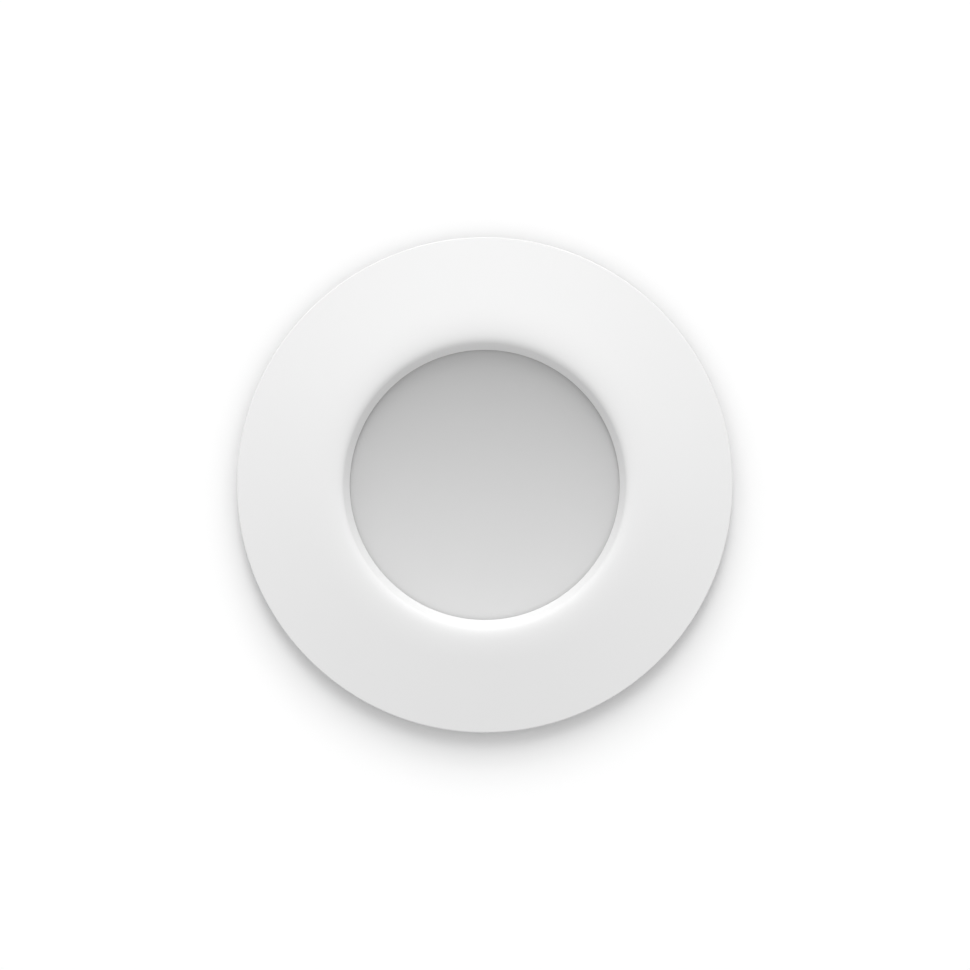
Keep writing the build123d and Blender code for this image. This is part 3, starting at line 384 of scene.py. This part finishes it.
def spring_wire(name, turn_half_round):
    """A clip spring's round wire, and half of its coil's width.

    Circles follow the spring's middle line, each in the plane of the sideways direction and the one
    square to it and to the line, and the ends are drawn in to a small bevel. The left spring is the
    right one turned half round the lamp's axis.
    """
    path, half = spring_path()
    way = unit(np.gradient(path, axis=0))
    sideways = unit(np.cross(np.array([0.0, 0.0, 1.0]), way))
    upwards = np.cross(way, sideways)
    radius = np.full(len(path), wire_radius)
    radius[[0, -1]] = wire_radius * wire_end_share
    angle = np.linspace(0, 2 * np.pi, wire_sides, endpoint=False)[None, :, None]
    circle = np.cos(angle) * sideways[:, None, :] + np.sin(angle) * upwards[:, None, :]
    rings = (path[:, None, :] + radius[:, None, None] * circle).reshape(-1, 3)
    points, faces = capped(rings, band_faces(len(path), wire_sides, False), wire_sides, path[0], path[-1])
    points = points + np.array([pivot_x, pivot_y, 0.0])
    if turn_half_round:
        points = points * np.array([-1.0, 1.0, -1.0])
    return put_mesh(name, points, faces), half


def shader_group(name, inputs, outputs):
    """An empty shader node group with float inputs (name: default) and outputs: its tree and two ends."""
    tree = bpy.data.node_groups.new(name, "ShaderNodeTree")
    for socket, value in inputs.items():
        made = tree.interface.new_socket(socket, in_out="INPUT", socket_type="NodeSocketFloat")
        made.default_value = value
    for socket in outputs:
        tree.interface.new_socket(socket, in_out="OUTPUT", socket_type="NodeSocketFloat")
    return tree, tree.nodes.new("NodeGroupInput"), tree.nodes.new("NodeGroupOutput")


def fed(tree, socket, value):
    """Gives a node's socket a number, or a link where the value is another node's output."""
    if isinstance(value, (int, float)):
        socket.default_value = value
    else:
        tree.links.new(value, socket)


def object_place(tree):
    """A point's place on the piece, in Object coordinates."""
    return tree.nodes.new("ShaderNodeTexCoord").outputs["Object"]


def noise(tree, scale, detail, place):
    """A noise texture at a place; scale is a number or a socket."""
    node = tree.nodes.new("ShaderNodeTexNoise")
    node.inputs["Detail"].default_value = detail
    tree.links.new(place, node.inputs["Vector"])
    fed(tree, node.inputs["Scale"], scale)
    return node.outputs["Fac"]


def spread(tree, value, low, high, to_low=0.0, to_high=1.0):
    """Stretches a value's range from low..high to to_low..to_high."""
    node = tree.nodes.new("ShaderNodeMapRange")
    node.inputs["From Min"].default_value = low
    node.inputs["From Max"].default_value = high
    node.inputs["To Min"].default_value = to_low
    node.inputs["To Max"].default_value = to_high
    tree.links.new(value, node.inputs["Value"])
    return node.outputs["Result"]


def combined(tree, operation, first, second):
    """Two values put together by a Math node; either one may be a number."""
    node = tree.nodes.new("ShaderNodeMath")
    node.operation = operation
    for socket, value in zip(node.inputs, (first, second)):
        fed(tree, socket, value)
    return node.outputs["Value"]


def surface_grain():
    """Skin of a moulded or sprayed surface: fine grain as height, slow blotches as a mask."""
    inputs = {"Fine Scale": 4000, "Broad Scale": 90}
    tree, given, made = shader_group("surface_grain", inputs, ["Height", "Blotch"])
    place = object_place(tree)
    tree.links.new(noise(tree, given.outputs["Fine Scale"], fine_detail, place), made.inputs["Height"])
    slow = noise(tree, given.outputs["Broad Scale"], slow_detail, place)
    tree.links.new(spread(tree, slow, *noise_span), made.inputs["Blotch"])
    return tree


def drawn_lines():
    """Rolling or drawing lines: noise pressed together across the lines and stretched along Y."""
    inputs = {"Line Scale": 5000, "Along Share": 0.02}
    tree, given, made = shader_group("drawn_lines", inputs, ["Height", "Streak"])
    split = tree.nodes.new("ShaderNodeSeparateXYZ")
    tree.links.new(object_place(tree), split.inputs["Vector"])
    along = combined(tree, "MULTIPLY", split.outputs["Y"], given.outputs["Along Share"])
    join = tree.nodes.new("ShaderNodeCombineXYZ")
    tree.links.new(split.outputs["X"], join.inputs["X"])
    tree.links.new(along, join.inputs["Y"])
    tree.links.new(split.outputs["Z"], join.inputs["Z"])
    lines = noise(tree, given.outputs["Line Scale"], slow_detail, join.outputs["Vector"])
    tree.links.new(lines, made.inputs["Height"])
    tree.links.new(spread(tree, lines, *streak_span), made.inputs["Streak"])
    return tree


def cast_skin():
    """Blasted casting: shallow cells under a finer roughness, with small pits between the cells, whose mask
    the cast finish uses for painted shade.
    """
    finer, cell_share = 2.5, 0.6
    tree, given, made = shader_group("cast_skin", {"Cell Scale": 1800}, ["Height", "Pits"])
    place = object_place(tree)
    cells = tree.nodes.new("ShaderNodeTexVoronoi")
    tree.links.new(place, cells.inputs["Vector"])
    tree.links.new(given.outputs["Cell Scale"], cells.inputs["Scale"])
    fine = noise(tree, combined(tree, "MULTIPLY", given.outputs["Cell Scale"], finer), fine_detail, place)
    domes = combined(tree, "MULTIPLY", cells.outputs["Distance"], cell_share)
    tree.links.new(combined(tree, "ADD", domes, fine), made.inputs["Height"])
    tree.links.new(spread(tree, cells.outputs["Distance"], *pit_span), made.inputs["Pits"])
    return tree


def edge_rub():
    """Mask of the corners that handling rubs bright: where a rounded normal leaves the face's own normal.

    The two normals' dot product falls over the rub span as they part, and patches of noise break it up.
    """
    patch_scale, bevel_samples = 700, 4
    tree, given, made = shader_group("edge_rub", {"Reach": 0.3 * millimetre}, ["Edge"])
    rounded = tree.nodes.new("ShaderNodeBevel")
    rounded.samples = bevel_samples
    tree.links.new(given.outputs["Reach"], rounded.inputs["Radius"])
    dot = tree.nodes.new("ShaderNodeVectorMath")
    dot.operation = "DOT_PRODUCT"
    tree.links.new(rounded.outputs["Normal"], dot.inputs[0])
    tree.links.new(tree.nodes.new("ShaderNodeNewGeometry").outputs["Normal"], dot.inputs[1])
    patch = spread(tree, noise(tree, patch_scale, slow_detail, object_place(tree)), *streak_span)
    edge = spread(tree, dot.outputs["Value"], *rub_span)
    tree.links.new(combined(tree, "MULTIPLY", edge, patch), made.inputs["Edge"])
    return tree


grain_group = surface_grain()
lines_group = drawn_lines()
cast_group = cast_skin()
edge_group = edge_rub()


def new_finish(name, **values):
    """A material with a Principled shader; values are the shader's own sockets, spelt with underscores."""
    finish = bpy.data.materials.new(name)
    finish.use_nodes = True
    tree = finish.node_tree
    shader = tree.nodes["Principled BSDF"]
    for socket, value in values.items():
        shader.inputs[socket.replace("_", " ").title().replace("Ior", "IOR")].default_value = value
    return finish, tree, shader


def placed(tree, group, **values):
    """A node group in a material, with its own values: its outputs."""
    node = tree.nodes.new("ShaderNodeGroup")
    node.node_tree = group
    for socket, value in values.items():
        node.inputs[socket.replace("_", " ").title()].default_value = value
    return node.outputs


def shaded(tree, shader, mask, first, second):
    """Base colour that goes with a mask from the first colour, or an earlier such mix, to the second."""
    mix = tree.nodes.new("ShaderNodeMix")
    mix.data_type = "RGBA"
    tree.links.new(mask, mix.inputs["Factor"])
    if isinstance(first, tuple):
        mix.inputs["A"].default_value = (*first, 1)
    else:
        tree.links.new(first, mix.inputs["A"])
    mix.inputs["B"].default_value = (*second, 1)
    tree.links.new(mix.outputs["Result"], shader.inputs["Base Color"])
    return mix.outputs["Result"]


def roughened(tree, shader, mask, span, low, high):
    """Roughness that goes from low to high as a mask goes over its span."""
    tree.links.new(spread(tree, mask, *span, low, high), shader.inputs["Roughness"])


def raised(tree, shader, height, depth, strength):
    """Bump of a height in millimetres."""
    bump = tree.nodes.new("ShaderNodeBump")
    bump.inputs["Strength"].default_value = strength
    bump.inputs["Distance"].default_value = depth * millimetre
    tree.links.new(height, bump.inputs["Height"])
    tree.links.new(bump.outputs["Normal"], shader.inputs["Normal"])


def toned(colour, share):
    """A colour made lighter or darker by a share."""
    return tuple(min(1.0, channel * share) for channel in colour)


def blotched(tree, shader, mask, colour, darker, lighter):
    """Base colour that goes with a mask from a darker to a lighter share of a colour."""
    return shaded(tree, shader, mask, toned(colour, darker), toned(colour, lighter))


def sprayed_paint(name, colour):
    """Satin powder coat: a faint orange peel, slow changes of gloss and hardly any of colour."""
    finish, tree, shader = new_finish(name, roughness=0.5, specular_ior_level=0.35)
    skin = placed(tree, grain_group, fine_scale=1500, broad_scale=45)
    blotched(tree, shader, skin["Blotch"], colour, darker=0.996, lighter=1.004)
    roughened(tree, shader, skin["Blotch"], whole_span, low=0.47, high=0.53)
    raised(tree, shader, skin["Height"], depth=0.012, strength=0.25)
    return finish


def frosted_opal(name, colour):
    """Opal diffuser: a frosted skin and a slow cloudiness."""
    finish, tree, shader = new_finish(name, roughness=0.6, specular_ior_level=0.3)
    skin = placed(tree, grain_group, fine_scale=5200, broad_scale=70)
    blotched(tree, shader, skin["Blotch"], colour, darker=0.995, lighter=1.005)
    roughened(tree, shader, skin["Height"], noise_span, low=0.56, high=0.64)
    raised(tree, shader, skin["Height"], depth=0.006, strength=0.3)
    return finish


def moulded_plastic(name, colour, gloss, grain=2600, depth=0.02):
    """Moulded plastic: spark-eroded grain, slow changes of tone and corners rubbed a little lighter."""
    rub_lightening, rub_share = 0.12, 0.6
    finish, tree, shader = new_finish(name, roughness=gloss, specular_ior_level=0.45)
    skin = placed(tree, grain_group, fine_scale=grain, broad_scale=60)
    rub = placed(tree, edge_group, reach=0.3 * millimetre)
    tone = blotched(tree, shader, skin["Blotch"], colour, darker=0.94, lighter=1.06)
    rubbed = tuple(channel + rub_lightening * (1 - channel) for channel in colour)
    shaded(tree, shader, combined(tree, "MULTIPLY", rub["Edge"], rub_share), tone, rubbed)
    roughened(tree, shader, skin["Height"], noise_span, low=gloss - 0.06, high=gloss + 0.06)
    raised(tree, shader, skin["Height"], depth, strength=0.4)
    return finish


def plated_steel(name, colour, gloss, lines=5200):
    """Zinc-plated or drawn steel: fine lines, cloudy plating and bright corners."""
    finish, tree, shader = new_finish(name, metallic=1.0, roughness=gloss)
    rolled = placed(tree, lines_group, line_scale=lines, along_share=0.03)
    skin = placed(tree, grain_group, fine_scale=3000, broad_scale=160)
    rub = placed(tree, edge_group, reach=0.25 * millimetre)
    tone = blotched(tree, shader, skin["Blotch"], colour, darker=0.86, lighter=1.06)
    shaded(tree, shader, rub["Edge"], tone, toned(colour, share=1.3))
    both = combined(tree, "MULTIPLY", rolled["Streak"], skin["Blotch"])
    roughened(tree, shader, both, whole_span, low=gloss - 0.07, high=gloss + 0.1)
    raised(tree, shader, rolled["Height"], depth=0.008, strength=0.3)
    return finish


def blasted_casting(name, colour):
    """Die-cast aluminium, blasted: pitted skin, painted shade darkening the pits, and corners rubbed
    bright.
    """
    pit_shade_share = 0.35
    finish, tree, shader = new_finish(name, metallic=1.0, roughness=0.45)
    skin = placed(tree, cast_group, cell_scale=2600)
    slow = placed(tree, grain_group, fine_scale=2400, broad_scale=55)
    rub = placed(tree, edge_group, reach=0.4 * millimetre)
    tone = blotched(tree, shader, slow["Blotch"], colour, darker=0.9, lighter=1.06)
    # Painted shade: the pits' colour is mixed towards a darker share of the colour, standing in for shade
    # in them.
    pit_shade = combined(tree, "MULTIPLY", skin["Pits"], pit_shade_share)
    pit_shaded = shaded(tree, shader, pit_shade, tone, toned(colour, share=0.62))
    shaded(tree, shader, rub["Edge"], pit_shaded, toned(colour, share=1.25))
    roughened(tree, shader, skin["Height"], cast_span, low=0.4, high=0.56)
    raised(tree, shader, skin["Height"], depth=0.03, strength=0.45)
    return finish


def soft_rubber(name, colour, gloss, grain, depth):
    """Rubber, silicone or foam: matt, with a fine skin and slow changes of tone."""
    finish, tree, shader = new_finish(name, roughness=gloss, specular_ior_level=0.3)
    skin = placed(tree, cast_group, cell_scale=grain)
    slow = placed(tree, grain_group, fine_scale=3000, broad_scale=120)
    blotched(tree, shader, slow["Blotch"], colour, darker=0.88, lighter=1.12)
    roughened(tree, shader, skin["Height"], cast_span, low=gloss - 0.08, high=gloss + 0.08)
    raised(tree, shader, skin["Height"], depth, strength=0.5)
    return finish


# Finish of each slot: its maker and colour and then, where these aren't the maker's own, its roughness,
# its grains or lines per metre, and the grains' depth in millimetres
recipes = {
    "white_paint": (sprayed_paint, (0.793, 0.793, 0.793)),
    "opal": (frosted_opal, (0.605, 0.605, 0.605)),
    "foam": (soft_rubber, (0.035, 0.035, 0.037), 0.85, 1500, 0.14),
    "seal_rubber": (soft_rubber, (0.42, 0.42, 0.41), 0.6, 3600, 0.012),
    "grommet_rubber": (soft_rubber, (0.02, 0.02, 0.021), 0.62, 3200, 0.015),
    "white_plastic": (moulded_plastic, (0.74, 0.74, 0.73), 0.5),
    "white_mask": (moulded_plastic, (0.72, 0.73, 0.72), 0.38, 900, 0.006),
    "phosphor": (soft_rubber, (0.75, 0.48, 0.03), 0.45, 5000, 0.01),
    "pad": (soft_rubber, (0.17, 0.19, 0.23), 0.75, 2600, 0.02),
    "cast_aluminium": (blasted_casting, (0.6, 0.61, 0.62)),
    "zinc_steel": (plated_steel, (0.62, 0.62, 0.6), 0.3),
    "bracket_steel": (plated_steel, (0.66, 0.66, 0.65), 0.32),
    "spring_steel": (plated_steel, (0.5, 0.5, 0.49), 0.26, 8000),
    "dark_plastic": (moulded_plastic, (0.03, 0.03, 0.033), 0.5, 1600, 0.12),
    "green_mask": (moulded_plastic, (0.008, 0.1, 0.03), 0.32, 800, 0.006),
    "ferrite": (blasted_casting, (0.05, 0.05, 0.055)),
    "tape": (moulded_plastic, (0.68, 0.39, 0.02), 0.3, 700, 0.008),
    "can_sleeve": (moulded_plastic, (0.012, 0.012, 0.016), 0.25, 900, 0.006),
    "film_box": (moulded_plastic, (0.48, 0.03, 0.015), 0.35),
    "chip": (moulded_plastic, (0.012, 0.012, 0.012), 0.55, 3600, 0.012),
    "ceramic": (moulded_plastic, (0.62, 0.58, 0.47), 0.25, 1200, 0.006),
    "terminal_grey": (moulded_plastic, (0.36, 0.37, 0.37), 0.48),
    "orange_plastic": (moulded_plastic, (0.72, 0.1, 0.005), 0.36),
    "blue_plastic": (moulded_plastic, (0.008, 0.06, 0.3), 0.36),
    "copper_spring": (plated_steel, (0.72, 0.4, 0.2), 0.28),
    "wire_red": (moulded_plastic, (0.38, 0.008, 0.006), 0.34, 1800, 0.008),
    "wire_black": (moulded_plastic, (0.012, 0.012, 0.012), 0.34, 1800, 0.008),
    "wire_brown": (moulded_plastic, (0.08, 0.022, 0.006), 0.34, 1800, 0.008),
    "wire_blue": (moulded_plastic, (0.008, 0.045, 0.26), 0.34, 1800, 0.008),
}
finishes = {slot: maker(slot, *values) for slot, (maker, *values) in recipes.items()}
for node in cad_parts.values():
    for place in node.material_slots:
        place.material = finishes[place.material.name.split(".")[0]]


def dress(piece, body, node, slot):
    """Puts a new piece in the place of a CAD node: its body, its finish and the node that it stands for."""
    piece.data.materials.append(finishes[slot])
    if body:
        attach(piece, body)
    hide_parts(node)


dress(trim_casting(), "lamp_body", "trim_ring", "white_paint")
dress(foam_ring(), "lamp_body", "wall_gasket", "foam")
dress(opal_disc(), "lamp_body", "diffuser_lens", "opal")
for side, direction in (("right", 1), ("left", -1)):
    spring, coil_half = spring_wire(f"clip_spring_{side}", direction < 0)
    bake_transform(spring)
    dress(spring, None, f"clip_{side}_spring", "spring_steel")


def either_shader(tree, switch, first, second, surface):
    """Feeds a surface with the first shader where a switch is 0 and with the second where it is 1."""
    either = tree.nodes.new("ShaderNodeMixShader")
    tree.links.new(switch, either.inputs["Fac"])
    tree.links.new(first, either.inputs[1])
    tree.links.new(second, either.inputs[2])
    tree.links.new(either.outputs["Shader"], surface)


def wall_sheet():
    """The wall round the cut-out: flat rings out to four metres, clear where they are seen from behind."""
    outline = np.stack([sheet_radii, np.full(len(sheet_radii), sheet_depth)], axis=1)
    points, faces = turned(outline, sheet_segments, False)
    sheet = put_mesh("wall_sheet", points, faces[:, ::-1].tolist())
    finish, tree, shader = new_finish("wall_white", roughness=0.9, specular_ior_level=0.1)
    skin = placed(tree, grain_group, fine_scale=900, broad_scale=8)
    blotched(tree, shader, skin["Blotch"], plain_white, darker=0.993, lighter=0.999)
    clear = tree.nodes.new("ShaderNodeBsdfTransparent").outputs["BSDF"]
    behind = tree.nodes.new("ShaderNodeNewGeometry").outputs["Backfacing"]
    surface = tree.nodes["Material Output"].inputs["Surface"]
    either_shader(tree, behind, shader.outputs["BSDF"], clear, surface)
    sheet.data.materials.append(finish)


def soft_box(name, place, width, height, power):
    """A rectangular soft lamp that faces the object."""
    lamp = bpy.data.lights.new(name, "AREA")
    lamp.shape = "RECTANGLE"
    lamp.size = width
    lamp.size_y = height
    lamp.energy = power
    holder = bpy.data.objects.new(name, lamp)
    holder.location = place
    holder.rotation_euler = (-Vector(place)).to_track_quat("-Z", "Y").to_euler()
    bpy.context.scene.collection.objects.link(holder)


def lamp_place(azimuth, elevation):
    """A place at the lamps' distance, by its angles sideways and upwards from straight in front."""
    aside, up = math.radians(azimuth), math.radians(elevation)
    ways = (math.sin(aside) * math.cos(up), -math.cos(aside) * math.cos(up), math.sin(up))
    return tuple(lamp_distance * way for way in ways)


def soft_lamps():
    """The key lamps above one another in front, one lamp to each side, and one behind the wall."""
    for elevation, width, power in key_lamps:
        soft_box(f"soft_key_{elevation}", lamp_place(0, elevation), width, key_height, power)
    for azimuth in side_azimuths:
        soft_box(f"soft_side_{azimuth}", lamp_place(azimuth, side_elevation), *side_lamp)
    soft_box("soft_rear", rear_place, *rear_lamp)


def studio_world():
    """Plain soft light from all round; the camera, mirrors and glass see white."""
    world = bpy.data.worlds.new("studio")
    world.use_nodes = True
    bpy.context.scene.world = world
    tree = world.node_tree
    lit = tree.nodes["Background"]
    seen = tree.nodes.new("ShaderNodeBackground")
    for background, level in ((lit, world_level), (seen, seen_level)):
        background.inputs["Color"].default_value = (*plain_white, 1)
        background.inputs["Strength"].default_value = level
    ray = tree.nodes.new("ShaderNodeLightPath").outputs
    direct = combined(tree, "MAXIMUM", ray["Is Camera Ray"], ray["Is Glossy Ray"])
    direct = combined(tree, "MAXIMUM", direct, ray["Is Transmission Ray"])
    surface = tree.nodes["World Output"].inputs["Surface"]
    either_shader(tree, direct, lit.outputs["Background"], seen.outputs["Background"], surface)


def photo_camera():
    """Camera in front of the lamp, as far off as makes the ring its width in the photograph."""
    frame_width = 2 * flange_radius * image_pixels / ring_pixels
    distance = frame_width * focal_length / sensor_width
    rim_middle = (rim_front + flange_back) / 2
    lens = bpy.data.cameras.new("camera")
    lens.lens = focal_length
    lens.sensor_width = sensor_width
    lens.clip_start, lens.clip_end = camera_clip
    camera = bpy.data.objects.new("camera", lens)
    camera.location = Vector((camera_aside, rim_middle - distance, -camera_below)) * millimetre
    camera.rotation_euler = (math.pi / 2, 0, 0)
    bpy.context.scene.collection.objects.link(camera)
    bpy.context.scene.camera = camera


wall_sheet()
studio_world()
soft_lamps()
photo_camera()
bpy.context.scene.view_settings.view_transform = "Standard"
